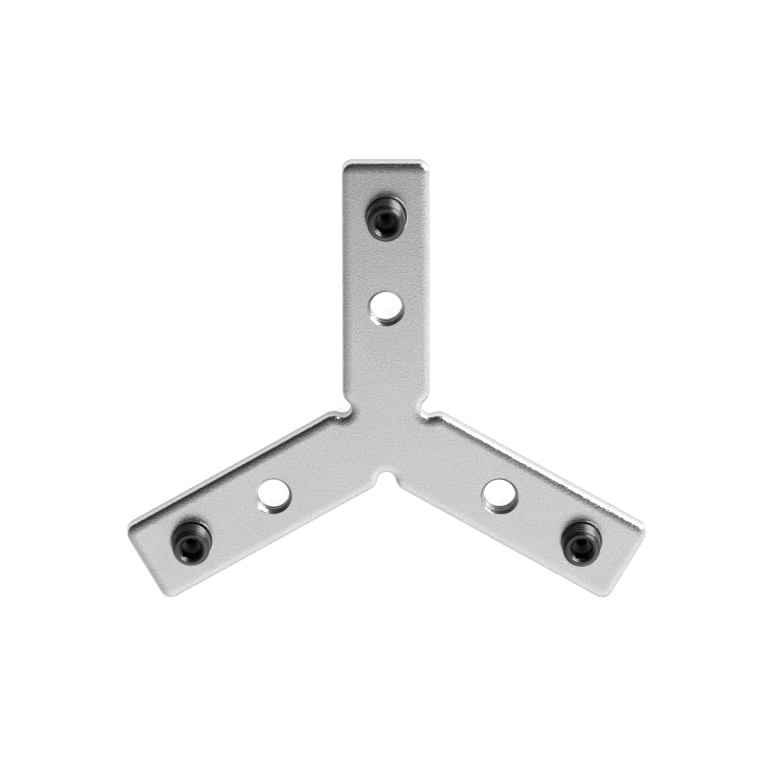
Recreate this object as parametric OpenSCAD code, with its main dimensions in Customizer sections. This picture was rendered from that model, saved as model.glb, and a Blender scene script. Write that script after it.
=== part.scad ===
// Three-way flat profile joiner.
// A steel plate with three arms at 120 degrees is blanked from sheet. Each arm
// slides into the slot of a profile. Each arm has two tapped holes: the inner one
// is empty, and the outer one holds a socket grub screw that stands up through
// the front face. The plate lies on its back face, and arm A points along +Y.

/* [Plate] */
// Distance from the centre to the end of an arm
arm_length = 28.7; // [27:0.1:60]
// Width of an arm
arm_width = 9; // [7.5:0.1:14]
// Thickness of the sheet
plate_thickness = 2; // [1.5:0.1:4]
// Radius of the two corners at the end of an arm
tip_corner_r = 1.2; // [0.9:0.1:3]
// Radius of the relief notch in the corner between two arms
notch_r = 0.9; // [0.5:0.05:1.2]
// Radius that blends a notch into the side of an arm
notch_blend_r = 1.5; // [0.9:0.1:2.5]
// Radius of the rolled edge that blanking leaves round the front face
edge_roll_r = 0.55; // [0.2:0.05:0.8]

/* [Tapped holes] */
// Nominal diameter of the thread, in the plate and on the grub screws
thread_d = 4; // [3.5:0.1:5]
// Pitch of the thread
thread_pitch = 0.7; // [0.4:0.05:0.8]
// Distance from the end of an arm to the hole of its grub screw
screw_hole_inset = 5.6; // [5:0.1:8]
// Distance between the two holes of an arm
hole_spacing = 9.7; // [7:0.1:11]
// How far the countersink opens the front mouth of an empty hole, at each side
front_countersink = 0.3; // [0.1:0.01:0.38]
// How far the back mouth of an empty hole is opened, at each side
back_countersink = 0.12; // [0.05:0.01:0.3]
// How far both mouths of a screw's hole are opened, at each side
screw_hole_break = 0.05; // [0.02:0.01:0.2]

/* [Grub screws] */
// Length of a grub screw, from its cup point to its socket end
screw_length = 5; // [4:0.5:12]
// Height of the cup point above the back face
screw_tip_height = 0; // [-3:0.1:0.7]
// Radial gap between a grub screw and the wall of its hole
thread_clearance = 0.04; // [0.02:0.01:0.08]
// Height and width of the chamfer at the socket end
end_chamfer = 0.45; // [0.2:0.05:0.48]
// Width across the flats of the hexagon socket
socket_af = 2; // [1.5:0.1:2.2]
// Depth of the hexagon socket
socket_depth = 2; // [1:0.1:2.8]
// How far the countersink of the socket is opened beyond the flats, at each side
socket_break = 0.25; // [0.1:0.01:0.3]
// Diameter of the cup point
cup_d = 2; // [1.4:0.1:3]
// Width of the ring round the cup, which bites into a profile
cup_rim = 0.1; // [0.05:0.01:0.3]
// How far each grub screw is turned, in degrees
screw_turns = [13, 42, 0]; // [0:1:60]

/* [Hidden] */
$fn = 96;

// Room that a cutter has past the surface that it opens, also inside a notch
room = 1;
notch_room = 0.4;

arm_count = 3;
arm_angle = 360 / arm_count;
half_width = arm_width / 2;

// The sides of two arms meet in a corner, which is the centre of the notch
corner_y = half_width / tan(arm_angle / 2);

// Centre of the blend, which is tangent to the side of the arm. It runs a micron
// into the notch, so that the two walls cross, and its place has four decimals.
// The roll of the notch goes a few degrees further than its wall.
blend_lap = 0.001;
notch_lap_angle = 6;
blend_x = half_width - notch_blend_r;
blend_reach = sqrt(pow(notch_r + notch_blend_r - blend_lap, 2) - pow(notch_blend_r, 2));
blend_y = floor(10000 * (corner_y + blend_reach)) / 10000;
blend_angle = acos(notch_blend_r / (notch_r + notch_blend_r));
notch_half_angle = blend_angle + 90 - arm_angle / 2 + notch_lap_angle;

// Centre of the corner at the end of an arm
tip_x = half_width - tip_corner_r;
tip_y = arm_length - tip_corner_r;

// An empty hole has its thread's minor radius; a grub screw's thread fills a wider one
minor_share = 1.0825;
empty_hole_r = (thread_d - minor_share * thread_pitch) / 2;
screw_r = thread_d / 2;
screw_hole_r = screw_r + thread_clearance;
screw_hole_place = arm_length - screw_hole_inset;
empty_hole_place = screw_hole_place - hole_spacing;

// The cup, the socket's drill point and its countersink are 120 degree cones
cone_slope = tan(30);
drill_gap = 0.05;
cup_r = cup_d / 2;

module on_each_arm() {
    for (i = [0 : arm_count - 1]) rotate(i * arm_angle) children();
}

module on_both_sides() {
    children();
    mirror([1, 0]) children();
}

// What the rounded corner takes off the end of an arm
module tip_corner_outline() {
    translate([tip_x, tip_y]) difference() {
        square(tip_corner_r + room);
        circle(tip_corner_r);
    }
}

// What the blend between a notch and the side of an arm takes off
module blend_outline() {
    difference() {
        polygon([
            [half_width, corner_y],
            [half_width + room, corner_y],
            [half_width + room, blend_y],
            [blend_x, blend_y]
        ]);
        translate([blend_x, blend_y]) circle(notch_blend_r);
    }
}

module blank_outline() {
    difference() {
        on_each_arm() translate([-half_width, 0]) square([arm_width, arm_length]);
        on_each_arm() {
            translate([half_width, corner_y]) circle(notch_r);
            on_both_sides() {
                tip_corner_outline();
                blend_outline();
            }
        }
    }
}

// What the rolled edge takes off: x runs outwards from the edge, y up from the back
module roll_section() {
    translate([-edge_roll_r, plate_thickness - edge_roll_r]) difference() {
        square(edge_roll_r + notch_room);
        circle(edge_roll_r);
    }
}

// The roll along a straight edge that starts at the origin and has +X outside it
module straight_roll(length) {
    rotate([90, 0, 0]) mirror([0, 0, 1]) linear_extrude(length) roll_section();
}

module outer_roll(arc_r, start, angle) {
    rotate_extrude(angle = angle, start = start) translate([arc_r, 0]) roll_section();
}

module inner_roll(arc_r, start, angle) {
    rotate_extrude(angle = angle, start = start)
        translate([arc_r, 0]) mirror([1, 0]) roll_section();
}

module notches_and_rolls() {
    on_each_arm() {
        translate([tip_x, arm_length, 0]) rotate(90) straight_roll(2 * tip_x);
        translate([half_width, corner_y, 0])
            inner_roll(notch_r, 270 - arm_angle / 2 - notch_half_angle, 2 * notch_half_angle);
        on_both_sides() {
            translate([half_width, blend_y, 0]) straight_roll(tip_y - blend_y);
            translate([tip_x, tip_y, 0]) outer_roll(tip_corner_r, 0, 90);
            translate([blend_x, blend_y, 0]) outer_roll(notch_blend_r, -blend_angle, blend_angle);
        }
    }
}

// What drilling, countersinking both mouths and tapping take out of the plate
module hole_cut(wall_r, front_break, back_break) {
    rotate_extrude() polygon([
        [0, -room],
        [wall_r + back_break + room, -room],
        [wall_r, back_break],
        [wall_r, plate_thickness - front_break],
        [wall_r + front_break + room, plate_thickness + room],
        [0, plate_thickness + room]
    ]);
}

// A cone that opens upwards from its point at the origin
module cone_up(r) {
    cylinder(h = r * cone_slope, r1 = 0, r2 = r);
}

// What drilling, broaching and countersinking take out of a grub screw below its end
module socket_cut() {
    point_r = socket_af / 2 - drill_gap;
    socket_mouth_r = socket_af / 2 + socket_break;
    translate([0, 0, -socket_depth])
        cylinder(h = socket_depth + room, d = socket_af / cos(30), $fn = 6);
    translate([0, 0, -socket_depth - point_r * cone_slope]) cone_up(point_r);
    translate([0, 0, -socket_mouth_r * cone_slope]) cone_up(socket_mouth_r + room);
}

// A grub screw before its socket is made, with its cup point at the origin
module screw_blank() {
    rim_r = cup_r - cup_rim;
    rotate_extrude() polygon([
        [0, rim_r * cone_slope],
        [rim_r, 0],
        [cup_r, 0],
        [screw_r, screw_r - cup_r],
        [screw_r, screw_length - end_chamfer],
        [screw_r - end_chamfer, screw_length],
        [0, screw_length]
    ]);
}

module grub_screw(arm) {
    color([0.13, 0.13, 0.14])
    rotate(arm * arm_angle)
    translate([0, screw_hole_place, screw_tip_height])
    rotate(screw_turns[arm])
    difference() {
        screw_blank();
        translate([0, 0, screw_length]) socket_cut();
    }
}

module joiner_plate() {
    color([0.75, 0.75, 0.74])
    difference() {
        linear_extrude(plate_thickness) blank_outline();
        notches_and_rolls();
        on_each_arm() {
            translate([0, empty_hole_place, 0])
                hole_cut(empty_hole_r, front_countersink, back_countersink);
            translate([0, screw_hole_place, 0])
                hole_cut(screw_hole_r, screw_hole_break, screw_hole_break);
        }
    }
}

module grub_screw_a() { grub_screw(0); }

module grub_screw_b() { grub_screw(1); }

module grub_screw_c() { grub_screw(2); }

joiner_plate();
grub_screw_a();
grub_screw_b();
grub_screw_c();
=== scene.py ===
import math

import bmesh
import bpy
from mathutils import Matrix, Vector


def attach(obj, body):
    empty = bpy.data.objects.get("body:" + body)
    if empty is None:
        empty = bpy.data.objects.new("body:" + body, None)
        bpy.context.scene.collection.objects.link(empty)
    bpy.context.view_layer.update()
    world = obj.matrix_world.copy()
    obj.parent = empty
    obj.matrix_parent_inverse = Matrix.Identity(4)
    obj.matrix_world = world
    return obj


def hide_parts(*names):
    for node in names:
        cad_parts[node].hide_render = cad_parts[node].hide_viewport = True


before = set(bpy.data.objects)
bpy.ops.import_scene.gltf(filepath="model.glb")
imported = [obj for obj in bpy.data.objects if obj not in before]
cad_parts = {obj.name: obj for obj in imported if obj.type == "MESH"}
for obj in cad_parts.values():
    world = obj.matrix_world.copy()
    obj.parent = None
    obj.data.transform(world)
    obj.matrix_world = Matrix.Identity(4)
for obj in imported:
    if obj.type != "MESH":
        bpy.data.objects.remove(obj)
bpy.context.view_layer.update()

# The joiner plate: three arms at 120 degrees, blanked from 2 mm steel and plated.
# Blanking rolls the front edge over, burnishes the wall below it and tears the
# rest. Pieces are drawn in millimetres, and brought to metres when they are done.
arm_count = 3
arm_angle = 120
arm_end = 28.7
half_width = 4.5
thickness = 2.0
tip_radius = 1.2
notch_radius = 0.9
blend_radius = 1.5
roll_depth = 0.5
roll_width = 1.05
back_radius = 0.08
sheared_height = 1.0
front_border = 0.03
back_border = 0.1
corner_y = half_width / math.tan(math.radians(arm_angle / 2))
blend_rise = math.sqrt((notch_radius + blend_radius) ** 2 - blend_radius ** 2)
blend_y = corner_y + blend_rise
blend_angle = math.degrees(math.acos(blend_radius / (notch_radius + blend_radius)))

# Heights this close count as equal, and vertices this close are merged
same_height = 0.0001
same_place = 0.0005


def deselect():
    if bpy.context.object and bpy.context.object.mode != "OBJECT":
        bpy.ops.object.mode_set(mode="OBJECT")
    bpy.ops.object.select_all(action="DESELECT")


def activate(piece):
    deselect()
    piece.select_set(True)
    bpy.context.view_layer.objects.active = piece


def choose(test):
    """Selects the vertices at the places that pass the test, and what they hold."""
    mesh = bmesh.from_edit_mesh(bpy.context.object.data)
    for item in [*mesh.verts, *mesh.edges, *mesh.faces]:
        item.select_set(False)
    for vertex in mesh.verts:
        if test(vertex.co):
            vertex.select_set(True)
    mesh.select_flush(True)
    bmesh.update_edit_mesh(bpy.context.object.data)


def start_vertex(name, place):
    """A piece with a single vertex at this place, selected in edit mode."""
    deselect()
    bpy.ops.mesh.primitive_plane_add(size=0.1, location=place)
    bpy.context.object.name = name
    bpy.context.object.data.name = name
    bpy.ops.object.transform_apply(location=True, rotation=True, scale=True)
    bpy.ops.object.mode_set(mode="EDIT")
    bpy.ops.mesh.select_all(action="SELECT")
    bpy.ops.mesh.merge(type="CENTER")
    return bpy.context.object


def draw_on(x, y, z):
    """Extrudes what is selected by one straight step."""
    bpy.ops.mesh.extrude_region_move(TRANSFORM_OT_translate={"value": (x, y, z)})


def sweep(x, y, z, steps):
    """Carries what is selected along a straight run of this length, in even steps."""
    bpy.ops.mesh.extrude_repeat(steps=steps, offset=(x / steps, y / steps, z / steps))


def turn(degrees, centre, axis=(0, 0, 1), *, steps):
    """Carries what is selected round an arc, clockwise as seen from the axis."""
    bpy.ops.mesh.spin(steps=steps, angle=math.radians(degrees), center=centre, axis=axis)


def merge_doubles():
    bpy.ops.mesh.select_all(action="SELECT")
    bpy.ops.mesh.remove_doubles(threshold=same_place)


def close_up():
    """Merges doubles and turns the faces outwards."""
    merge_doubles()
    bpy.ops.mesh.normals_make_consistent(inside=False)


def swing(degrees):
    """Turns what is selected anticlockwise round Z. The operator counts the other way."""
    bpy.ops.transform.rotate(
        value=math.radians(-degrees), orient_axis="Z", center_override=(0, 0, 0))


# The section of the edge, at the middle of the end of arm A: the roll, which is
# twice as wide as it is deep, the wall, and the back edge, dulled by tumbling
plate = start_vertex(
    "joiner_plate_finish", (0, arm_end - roll_depth - front_border, thickness))
draw_on(0, front_border, 0)
turn(90, (0, arm_end - roll_depth, thickness - roll_depth), (1, 0, 0), steps=14)
bpy.ops.mesh.select_all(action="SELECT")
bpy.ops.transform.resize(
    value=(1, roll_width / roll_depth, 1), center_override=(0, arm_end, 0))
choose(lambda place: place.z < thickness - roll_depth + same_height)
sweep(0, 0, sheared_height - thickness + roll_depth, steps=5)
sweep(0, 0, back_radius - sheared_height, steps=11)
turn(90, (0, arm_end - back_radius, back_radius), (1, 0, 0), steps=3)
draw_on(0, -back_border, 0)

# The section follows half of the outline of an arm, to the middle of a notch
bpy.ops.mesh.select_all(action="SELECT")
sweep(half_width - tip_radius, 0, 0, steps=24)
turn(90, (half_width - tip_radius, arm_end - tip_radius, 0), steps=14)
sweep(0, blend_y - arm_end + tip_radius, 0, steps=170)
turn(blend_angle, (half_width - blend_radius, blend_y, 0), steps=10)
turn(arm_angle / 2 - 90 - blend_angle, (half_width, corner_y, 0), steps=12)
close_up()

# The other half mirrors it, and the other arms are turned copies
bpy.ops.mesh.duplicate()
bpy.ops.transform.resize(value=(-1, 1, 1), center_override=(0, 0, 0))
close_up()
for arm in range(1, arm_count):
    bpy.ops.mesh.duplicate()
    swing(arm_angle)
close_up()

# The front and the back close the shell
for height in (thickness, 0):
    bpy.ops.mesh.select_all(action="DESELECT")
    bpy.ops.mesh.select_non_manifold(
        extend=False, use_wire=False, use_boundary=True, use_multi_face=False,
        use_non_contiguous=False, use_verts=False)
    mesh = bmesh.from_edit_mesh(plate.data)
    for edge in mesh.edges:
        if edge.select and abs(edge.verts[0].co.z - height) > same_height:
            edge.select_set(False)
    bmesh.update_edit_mesh(plate.data)
    bpy.ops.mesh.edge_face_add()
close_up()


def apply_modifier(piece, name):
    activate(piece)
    bpy.ops.object.modifier_apply(modifier=name)


# The torn part of the wall is rough, and lies a little inside the burnished part
plate.vertex_groups.new(name="torn")
choose(lambda place: back_radius < place.z < sheared_height - same_height)
bpy.ops.object.vertex_group_assign()
deselect()
tear = bpy.data.textures.new("tear", "CLOUDS")
tear.noise_scale = 0.32
tear.noise_depth = 3
tearing = plate.modifiers.new("tearing", "DISPLACE")
tearing.texture = tear
tearing.texture_coords = "LOCAL"
tearing.vertex_group = "torn"
tearing.direction = "NORMAL"
tearing.mid_level = 1.0
tearing.strength = 0.05
apply_modifier(plate, "tearing")


# Satin plating covers the plate, with a fine and even grain. On the roll the
# grain is a little deeper, and on the torn wall the plating is dull.
def grain_group():
    """Grain, and a tone that joins its speckle to slow clouds, for all the metals."""
    group = bpy.data.node_groups.new("metal grain", "ShaderNodeTree")
    for name, way, kind in (
            ("Vector", "INPUT", "NodeSocketVector"),
            ("Grains per metre", "INPUT", "NodeSocketFloat"),
            ("Height", "OUTPUT", "NodeSocketFloat"),
            ("Tone", "OUTPUT", "NodeSocketFloat")):
        group.interface.new_socket(name, in_out=way, socket_type=kind)
    entry = group.nodes.new("NodeGroupInput")
    leave = group.nodes.new("NodeGroupOutput")
    grains = group.nodes.new("ShaderNodeTexNoise")
    grains.inputs["Detail"].default_value = 3
    grains.inputs["Roughness"].default_value = 0.6
    cloud_scale = group.nodes.new("ShaderNodeMath")
    cloud_scale.operation = "MULTIPLY"
    cloud_scale.inputs[1].default_value = 0.06
    clouds = group.nodes.new("ShaderNodeTexNoise")
    clouds.inputs["Detail"].default_value = 4
    group.links.new(entry.outputs["Vector"], grains.inputs["Vector"])
    group.links.new(entry.outputs["Vector"], clouds.inputs["Vector"])
    group.links.new(entry.outputs["Grains per metre"], grains.inputs["Scale"])
    group.links.new(entry.outputs["Grains per metre"], cloud_scale.inputs[0])
    group.links.new(cloud_scale.outputs[0], clouds.inputs["Scale"])
    speckle = group.nodes.new("ShaderNodeMapRange")
    speckle.inputs["From Min"].default_value = 0.28
    speckle.inputs["From Max"].default_value = 0.72
    both = group.nodes.new("ShaderNodeMix")
    both.inputs["Factor"].default_value = 0.3
    group.links.new(grains.outputs["Fac"], speckle.inputs["Value"])
    group.links.new(speckle.outputs["Result"], both.inputs["A"])
    group.links.new(clouds.outputs["Fac"], both.inputs["B"])
    group.links.new(grains.outputs["Fac"], leave.inputs["Height"])
    group.links.new(both.outputs["Result"], leave.inputs["Tone"])
    return group


metal_grain = grain_group()


def metal(name, colour, dark_colour, roughness, grains, grain_height, metallic=1.0):
    """A metal whose grain changes its tone, its gloss and its surface."""
    made = bpy.data.materials.new(name)
    made.use_nodes = True
    tree = made.node_tree
    shader = tree.nodes["Principled BSDF"]
    shader.inputs["Metallic"].default_value = metallic
    ways = tree.nodes.new("ShaderNodeTexCoord")
    grain = tree.nodes.new("ShaderNodeGroup")
    grain.node_tree = metal_grain
    grain.inputs["Grains per metre"].default_value = grains
    tree.links.new(ways.outputs["Object"], grain.inputs["Vector"])
    tones = tree.nodes.new("ShaderNodeMix")
    tones.data_type = "RGBA"
    tones.inputs["A"].default_value = (*dark_colour, 1)
    tones.inputs["B"].default_value = (*colour, 1)
    tree.links.new(grain.outputs["Tone"], tones.inputs["Factor"])
    tree.links.new(tones.outputs["Result"], shader.inputs["Base Color"])
    gloss = tree.nodes.new("ShaderNodeMapRange")
    gloss.inputs["From Min"].default_value = 0.25
    gloss.inputs["From Max"].default_value = 0.75
    gloss.inputs["To Min"].default_value = roughness[0]
    gloss.inputs["To Max"].default_value = roughness[1]
    tree.links.new(grain.outputs["Height"], gloss.inputs["Value"])
    tree.links.new(gloss.outputs["Result"], shader.inputs["Roughness"])
    bump = tree.nodes.new("ShaderNodeBump")
    bump.inputs["Distance"].default_value = grain_height
    tree.links.new(grain.outputs["Height"], bump.inputs["Height"])
    tree.links.new(bump.outputs["Normal"], shader.inputs["Normal"])
    return made


plating = metal(
    "satin plating", colour=(0.84, 0.835, 0.835), dark_colour=(0.54, 0.535, 0.535),
    roughness=(0.17, 0.25), grains=5000, grain_height=0.000016)
torn_plating = metal(
    "plating on the torn wall", colour=(0.74, 0.74, 0.735), dark_colour=(0.54, 0.54, 0.54),
    roughness=(0.4, 0.6), grains=7000, grain_height=0.00006)
rolled_plating = metal(
    "plating on the roll", colour=(0.8, 0.795, 0.795), dark_colour=(0.55, 0.545, 0.545),
    roughness=(0.15, 0.25), grains=5500, grain_height=0.00004)


def edit(piece):
    """Opens a piece in edit mode, with all of it selected."""
    activate(piece)
    bpy.ops.object.mode_set(mode="EDIT")
    bpy.ops.mesh.select_all(action="SELECT")


def assign(material, test):
    """Gives a material to the faces whose corners all pass the test."""
    piece = bpy.context.object
    if piece.data.materials.find(material.name) < 0:
        piece.data.materials.append(material)
    choose(test)
    piece.active_material_index = piece.data.materials.find(material.name)
    bpy.ops.object.material_slot_assign()


# The dull plating takes in the rows of corners just past the torn part
torn_low = back_radius - 0.01
torn_high = sheared_height + 0.03
plate.data.materials.append(plating)
edit(plate)
assign(torn_plating, lambda place: torn_low < place.z < torn_high)
assign(rolled_plating,
       lambda place: thickness - roll_depth < place.z < thickness - same_height)
deselect()

# The tapped holes: M4 threads, right-handed, with both mouths broken by a
# countersink. The inner hole of each arm is empty, the outer one holds a screw.
pitch = 0.7
thread_steps = 72
empty_place = 13.4
screw_place = 23.1
empty_front_mouth = 1.93
empty_back_mouth = 1.76
screw_mouth = 2.05

# A mouth's cutter is a 45 degree cone that reaches this far into the plate and out
# of it, and the tap runs past both faces
mouth_inside = 0.5
mouth_outside = 1.0
tap_overrun = 0.5

# One pitch of the tap's thread, as radius and height
tap_section = [(1.62, 0), (1.62, 0.16), (1.645, 0.188), (2.01, 0.382), (2.03, 0.4),
               (2.03, 0.475), (2.01, 0.493), (1.645, 0.687), (1.62, 0.7)]

# Turned cutters start at this angle, in radians, off the seam of the threads
off_seam = 0.013


def thread_surface(name, section, first_turn, turns):
    """A threaded rod round Z, from one pitch of its section, in radius and height."""
    radius, height = section[0]
    rod = start_vertex(name, (radius, 0, height + first_turn * pitch))
    for next_radius, next_height in section[1:]:
        draw_on(next_radius - radius, 0, next_height - height)
        radius, height = next_radius, next_height
    deselect()
    winding = rod.modifiers.new("winding", "SCREW")
    winding.axis = "Z"
    winding.angle = math.radians(360)
    winding.screw_offset = pitch
    winding.iterations = turns
    winding.steps = thread_steps
    winding.render_steps = thread_steps
    apply_modifier(rod, "winding")
    edit(rod)
    merge_doubles()
    deselect()
    return rod


def trim(rod, low, high):
    """Cuts a rod off square at both ends and closes them."""
    edit(rod)
    for height, direction in ((low, -1), (high, 1)):
        bpy.ops.mesh.select_all(action="SELECT")
        bpy.ops.mesh.bisect(plane_co=(0, 0, height), plane_no=(0, 0, direction),
                            use_fill=True, clear_outer=True)
    close_up()
    deselect()


def cut(piece, cutter, operation="DIFFERENCE"):
    """Cuts a piece with a closed cutter, which is used up and gives its material
    to the wall that it leaves."""
    modifier = piece.modifiers.new("cut", "BOOLEAN")
    modifier.operation = operation
    modifier.solver = "EXACT"
    modifier.material_mode = "TRANSFER"
    modifier.object = cutter
    apply_modifier(piece, "cut")
    bpy.data.objects.remove(cutter)


def copy_of(piece, name):
    """A copy with its own mesh."""
    activate(piece)
    bpy.ops.object.duplicate(linked=False)
    bpy.context.object.name = name
    bpy.context.object.data.name = name
    return bpy.context.object


def place_in_arm(piece, distance, arm):
    """Moves a piece that stands at the centre to its place along an arm."""
    edit(piece)
    bpy.ops.transform.translate(value=(0, distance, 0))
    swing(arm_angle * arm)
    deselect()


def join(pieces):
    """Makes one piece of these."""
    activate(pieces[0])
    for piece in pieces[1:]:
        piece.select_set(True)
    bpy.ops.object.join()
    return pieces[0]


# The walls of the tapped holes are darker than the plating on the faces: painted shade
# inside the holes.
shaded_tapped_wall = metal(
    "wall of a tapped hole, darkened as painted shade", colour=(0.66, 0.66, 0.655), dark_colour=(0.46, 0.46, 0.46),
    roughness=(0.24, 0.34), grains=6000, grain_height=0.000008)
taps = []
for distance, front_mouth, back_mouth in (
        (empty_place, empty_front_mouth, empty_back_mouth),
        (screw_place, screw_mouth, screw_mouth)):
    tap = thread_surface("tap", tap_section, first_turn=-3, turns=7)
    trim(tap, -tap_overrun, thickness + tap_overrun)
    for height, direction, mouth in ((thickness, 1, front_mouth), (0, -1, back_mouth)):
        bpy.ops.mesh.primitive_cone_add(
            vertices=64, radius1=mouth - mouth_inside, radius2=mouth + mouth_outside,
            depth=mouth_inside + mouth_outside,
            location=(0, 0, height + direction * (mouth_outside - mouth_inside) / 2),
            rotation=(0 if direction > 0 else math.pi, 0, off_seam))
        cut(tap, bpy.context.object, "UNION")
    tap.data.materials.clear()
    tap.data.materials.append(shaded_tapped_wall)
    for arm in range(arm_count):
        taps.append(copy_of(tap, "tap"))
        place_in_arm(taps[-1], distance, arm)
    bpy.data.objects.remove(tap)
cut(plate, join(taps))

# Driving the screws in has raised a small lip round each of their holes
lip_radius = 2.17
lip_half_width = 0.1
lip_height = 0.06
lips = []
for arm in range(arm_count):
    deselect()
    bpy.ops.mesh.primitive_torus_add(
        major_segments=thread_steps, minor_segments=12, major_radius=lip_radius,
        minor_radius=lip_half_width, location=(0, 0, thickness))
    lips.append(bpy.context.object)
    lips[-1].scale = (1, 1, lip_height / lip_half_width)
    bpy.ops.object.transform_apply(location=True, rotation=True, scale=True)
    lips[-1].data.materials.append(plating)
    place_in_arm(lips[-1], screw_place, arm)
cut(plate, join(lips), "UNION")

# Faces that meet at less than this angle, in degrees, are shaded as one curve
smooth_angle = 32


def even_out(piece):
    """Smooth shading, where flat faces keep their own direction."""
    activate(piece)
    bpy.ops.object.shade_smooth_by_angle(angle=math.radians(smooth_angle))
    evening = piece.modifiers.new("even shading", "WEIGHTED_NORMAL")
    evening.keep_sharp = True
    evening.weight = 50
    apply_modifier(piece, "even shading")


def bring_to_size(piece):
    """Scales a piece from millimetres to metres, with its place in its mesh."""
    activate(piece)
    piece.scale = (0.001, 0.001, 0.001)
    bpy.ops.object.transform_apply(location=True, rotation=True, scale=True)


even_out(plate)
bring_to_size(plate)
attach(plate, "plate")
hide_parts("joiner_plate")

# The grub screws: M4 socket set screws of steel with black oxide, rolled threads,
# a broached hexagon socket at the top and a cup point at the bottom. Each stands
# in the outer hole of an arm, and its thread meshes with the plate's.
screw_length = 5.0
screw_overrun = 0.3
socket_turns = (13, 42, 0)

# One pitch of the thread, then what is turned, bored and broached, all as radius
# and height
screw_section = [(1.555, 0), (1.555, 0.17), (1.58, 0.2), (1.91, 0.382), (1.945, 0.405),
                 (1.945, 0.425), (1.885, 0.51), (1.58, 0.675), (1.555, 0.7)]
blank_outline = [(1.0, 0), (2.2, 1.2), (2.2, 4.35), (1.96, 4.57), (1.61, 4.94),
                 (1.51, screw_length)]
cup_outline = [(1.2, -0.1732), (0.9, 0), (0.01, 0.514)]
drill_outline = [(0.01, 2.457), (0.95, 3.0), (0.95, 5.2)]
countersink_outline = [(0.01, 3.69), (1.28, 4.96), (1.34, 5.01), (1.9, 5.2)]
socket_outline = [(1.1547, 3.0), (1.1547, 6.0)]


def oxide(name, colour, dark_colour, roughness):
    """Blackened steel, with a very fine grain."""
    return metal(name, colour, dark_colour, roughness,
                 grains=9000, grain_height=0.000004, metallic=0.9)


black_oxide = oxide(
    "black oxide", colour=(0.105, 0.105, 0.108), dark_colour=(0.05, 0.05, 0.052),
    roughness=(0.22, 0.3))
worn_oxide = oxide(
    "oxide worn off the crests", colour=(0.3, 0.3, 0.3), dark_colour=(0.1, 0.1, 0.103),
    roughness=(0.26, 0.36))
# Lighter rings at the edges: rubbed oxide, and partly a painted highlight of the edges.
rubbed_and_highlit_edge_oxide = oxide(
    "oxide rubbed at the edges, with painted highlight", colour=(0.24, 0.24, 0.24), dark_colour=(0.1, 0.1, 0.103),
    roughness=(0.26, 0.36))
# The socket, the drill point below it and the cup are darker than the rest of the oxide:
# painted shade in these hollows.
socket_shade_oxide = oxide(
    "oxide in the socket, darkened as painted shade", colour=(0.06, 0.06, 0.062), dark_colour=(0.03, 0.03, 0.031),
    roughness=(0.16, 0.24))


def turned_blank(name, material, outline, vertices=64, start=off_seam):
    """A closed solid round Z, from rings of radius and height, and the angle in
    radians at which its first vertex stands."""
    radius, height = outline[0]
    deselect()
    bpy.ops.mesh.primitive_circle_add(
        vertices=vertices, radius=radius, fill_type="NGON", location=(0, 0, height),
        rotation=(0, 0, start))
    blank = bpy.context.object
    blank.name = name
    blank.data.materials.append(material)
    bpy.ops.object.transform_apply(location=True, rotation=True, scale=True)
    edit(blank)
    for next_radius, next_height in outline[1:]:
        draw_on(0, 0, next_height - height)
        share = next_radius / radius
        bpy.ops.transform.resize(value=(share, share, 1), center_override=(0, 0, 0))
        radius, height = next_radius, next_height
    bpy.ops.mesh.select_all(action="SELECT")
    bpy.ops.mesh.normals_make_consistent(inside=False)
    deselect()
    return blank


pattern = thread_surface("pattern", screw_section, first_turn=-2, turns=10)
pattern.data.materials.append(black_oxide)
trim(pattern, -screw_overrun, screw_length + screw_overrun)
cut(pattern, turned_blank("blank", black_oxide, blank_outline), "INTERSECT")
cut(pattern, turned_blank("cup", socket_shade_oxide, cup_outline))
cut(pattern, turned_blank("drill", socket_shade_oxide, drill_outline))
cut(pattern, turned_blank("countersink", black_oxide, countersink_outline))

# The oxide is worn off the crests below the chamfer. At the edges of the countersink and
# of the chamfer it is rubbed, and the light rings there are partly a painted highlight of
# those edges.
crest_radius = 1.87
chamfer_height = 4.5
highlit_rubbed_height = 4.93
highlit_rubbed_rings = ((1.26, 1.36), (1.5, 1.62))
edit(pattern)
assign(worn_oxide, lambda place: (
    math.hypot(place.x, place.y) > crest_radius and place.z < chamfer_height))
for near, far in highlit_rubbed_rings:
    assign(rubbed_and_highlit_edge_oxide, lambda place: (
        near < math.hypot(place.x, place.y) < far and place.z > highlit_rubbed_height))
deselect()

for arm, letter in enumerate("abc"):
    screw = copy_of(pattern, "grub_screw_" + letter + "_finish")
    cut(screw, turned_blank(
        "socket", socket_shade_oxide, socket_outline, vertices=6,
        start=math.radians(socket_turns[arm] + 30)))
    place_in_arm(screw, screw_place, arm)
    even_out(screw)
    bring_to_size(screw)
    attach(screw, "screw_" + letter)
    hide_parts("grub_screw_" + letter)
bpy.data.objects.remove(pattern)

# The floor is a plain white sheet, a little below the back of the part. It glows
# for the camera and in reflections, and is clear from below, so that the back can
# be looked at.
floor_size = 3
floor_height = -0.00003
seen_glow = 0.82
mirrored_glow = 0.56
deselect()
bpy.ops.mesh.primitive_grid_add(
    x_subdivisions=2, y_subdivisions=2, size=floor_size, location=(0, 0, floor_height))
floor = bpy.context.object
floor.name = "floor"
sheet = bpy.data.materials.new("white floor")
sheet.use_nodes = True
tree = sheet.node_tree
tree.nodes.remove(tree.nodes["Principled BSDF"])
out = tree.nodes["Material Output"]
white = tree.nodes.new("ShaderNodeBsdfDiffuse")
white.inputs["Color"].default_value = (0.8, 0.8, 0.8, 1)
glow = tree.nodes.new("ShaderNodeEmission")
path = tree.nodes.new("ShaderNodeLightPath")
seen = tree.nodes.new("ShaderNodeMath")
seen.operation = "MULTIPLY"
seen.inputs[1].default_value = seen_glow
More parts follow.
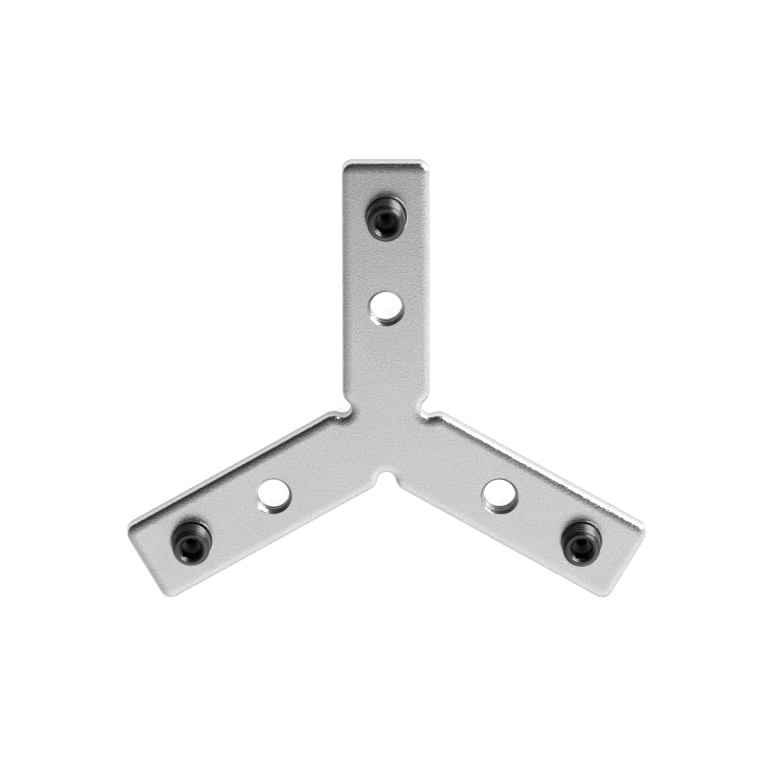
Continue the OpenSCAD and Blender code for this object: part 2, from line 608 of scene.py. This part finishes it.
mirrored = tree.nodes.new("ShaderNodeMath")
mirrored.operation = "MULTIPLY_ADD"
mirrored.inputs[1].default_value = mirrored_glow
lit = tree.nodes.new("ShaderNodeAddShader")
side = tree.nodes.new("ShaderNodeNewGeometry")
clear = tree.nodes.new("ShaderNodeBsdfTransparent")
whole = tree.nodes.new("ShaderNodeMixShader")
tree.links.new(path.outputs["Is Camera Ray"], seen.inputs[0])
tree.links.new(path.outputs["Is Glossy Ray"], mirrored.inputs[0])
tree.links.new(seen.outputs[0], mirrored.inputs[2])
tree.links.new(mirrored.outputs[0], glow.inputs["Strength"])
tree.links.new(white.outputs[0], lit.inputs[0])
tree.links.new(glow.outputs[0], lit.inputs[1])
tree.links.new(side.outputs["Backfacing"], whole.inputs["Fac"])
tree.links.new(lit.outputs[0], whole.inputs[1])
tree.links.new(clear.outputs[0], whole.inputs[2])
tree.links.new(whole.outputs[0], out.inputs["Surface"])
floor.data.materials.append(sheet)

# The studio: a dim room, darkest beyond the end of arm A, with a pale reflector at
# the right. One softbox hangs overhead, and the key softbox stands low at the upper
# right. The camera itself sees a white backdrop.
scene = bpy.context.scene
world = bpy.data.worlds.new("studio")
scene.world = world
world.use_nodes = True
tree = world.node_tree
backdrop = tree.nodes["Background"]
backdrop.inputs["Color"].default_value = (1, 1, 1, 1)
backdrop.inputs["Strength"].default_value = 1.0
ways = tree.nodes.new("ShaderNodeTexCoord")


def glow_towards(direction, start, full, low_level, high_level):
    """A level that changes smoothly towards one side of the room."""
    facing = tree.nodes.new("ShaderNodeVectorMath")
    facing.operation = "DOT_PRODUCT"
    facing.inputs[1].default_value = Vector(direction).normalized()
    level = tree.nodes.new("ShaderNodeMapRange")
    level.interpolation_type = "SMOOTHSTEP"
    level.inputs["From Min"].default_value = start
    level.inputs["From Max"].default_value = full
    level.inputs["To Min"].default_value = low_level
    level.inputs["To Max"].default_value = high_level
    tree.links.new(ways.outputs["Generated"], facing.inputs[0])
    tree.links.new(facing.outputs["Value"], level.inputs["Value"])
    return level.outputs["Result"]


lower_glow = glow_towards(
    (0, -1, 0), start=-0.6, full=1.0, low_level=0.09, high_level=0.91)
upper_left_shade = glow_towards(
    (-0.7, 0.7, 0.2), start=0.4, full=0.9, low_level=1.0, high_level=0.45)
right_reflector = glow_towards(
    (0.88, -0.2, 0.42), start=0.7, full=0.97, low_level=0.0, high_level=0.85)
room_level = tree.nodes.new("ShaderNodeMath")
room_level.operation = "MULTIPLY_ADD"
tree.links.new(lower_glow, room_level.inputs[0])
tree.links.new(upper_left_shade, room_level.inputs[1])
tree.links.new(right_reflector, room_level.inputs[2])
room = tree.nodes.new("ShaderNodeBackground")
tree.links.new(room_level.outputs[0], room.inputs["Strength"])
path = tree.nodes.new("ShaderNodeLightPath")
mix = tree.nodes.new("ShaderNodeMixShader")
tree.links.new(path.outputs["Is Camera Ray"], mix.inputs["Fac"])
tree.links.new(room.outputs[0], mix.inputs[1])
tree.links.new(backdrop.outputs[0], mix.inputs[2])
tree.links.new(mix.outputs[0], tree.nodes["World Output"].inputs["Surface"])


def softbox(name, place, size, power):
    """A square lamp that faces the part."""
    lamp = bpy.data.lights.new(name, "AREA")
    lamp.shape = "SQUARE"
    lamp.size = size
    lamp.energy = power
    holder = bpy.data.objects.new(name, lamp)
    scene.collection.objects.link(holder)
    holder.location = place
    holder.rotation_euler = (-Vector(place)).to_track_quat("-Z", "Y").to_euler()


softbox("overhead softbox", place=(0.014, -0.0925, 0.11), size=0.17, power=0.041)
softbox("key softbox", place=(0.23, 0.208, 0.115), size=0.2, power=0.8)

# The camera looks down at the front, from a little beyond the end of arm A
eye = bpy.data.cameras.new("camera")
eye.lens = 499.55
eye.sensor_width = 36
eye.clip_start = 0.05
eye.clip_end = 20
camera = bpy.data.objects.new("camera", eye)
scene.collection.objects.link(camera)
camera.location = (0.007669, 0.322677, 1.043533)
camera.rotation_euler = [math.radians(angle) for angle in (-16.94623, 0.40096, -0.10938)]
scene.camera = camera
scene.view_settings.view_transform = "Standard"
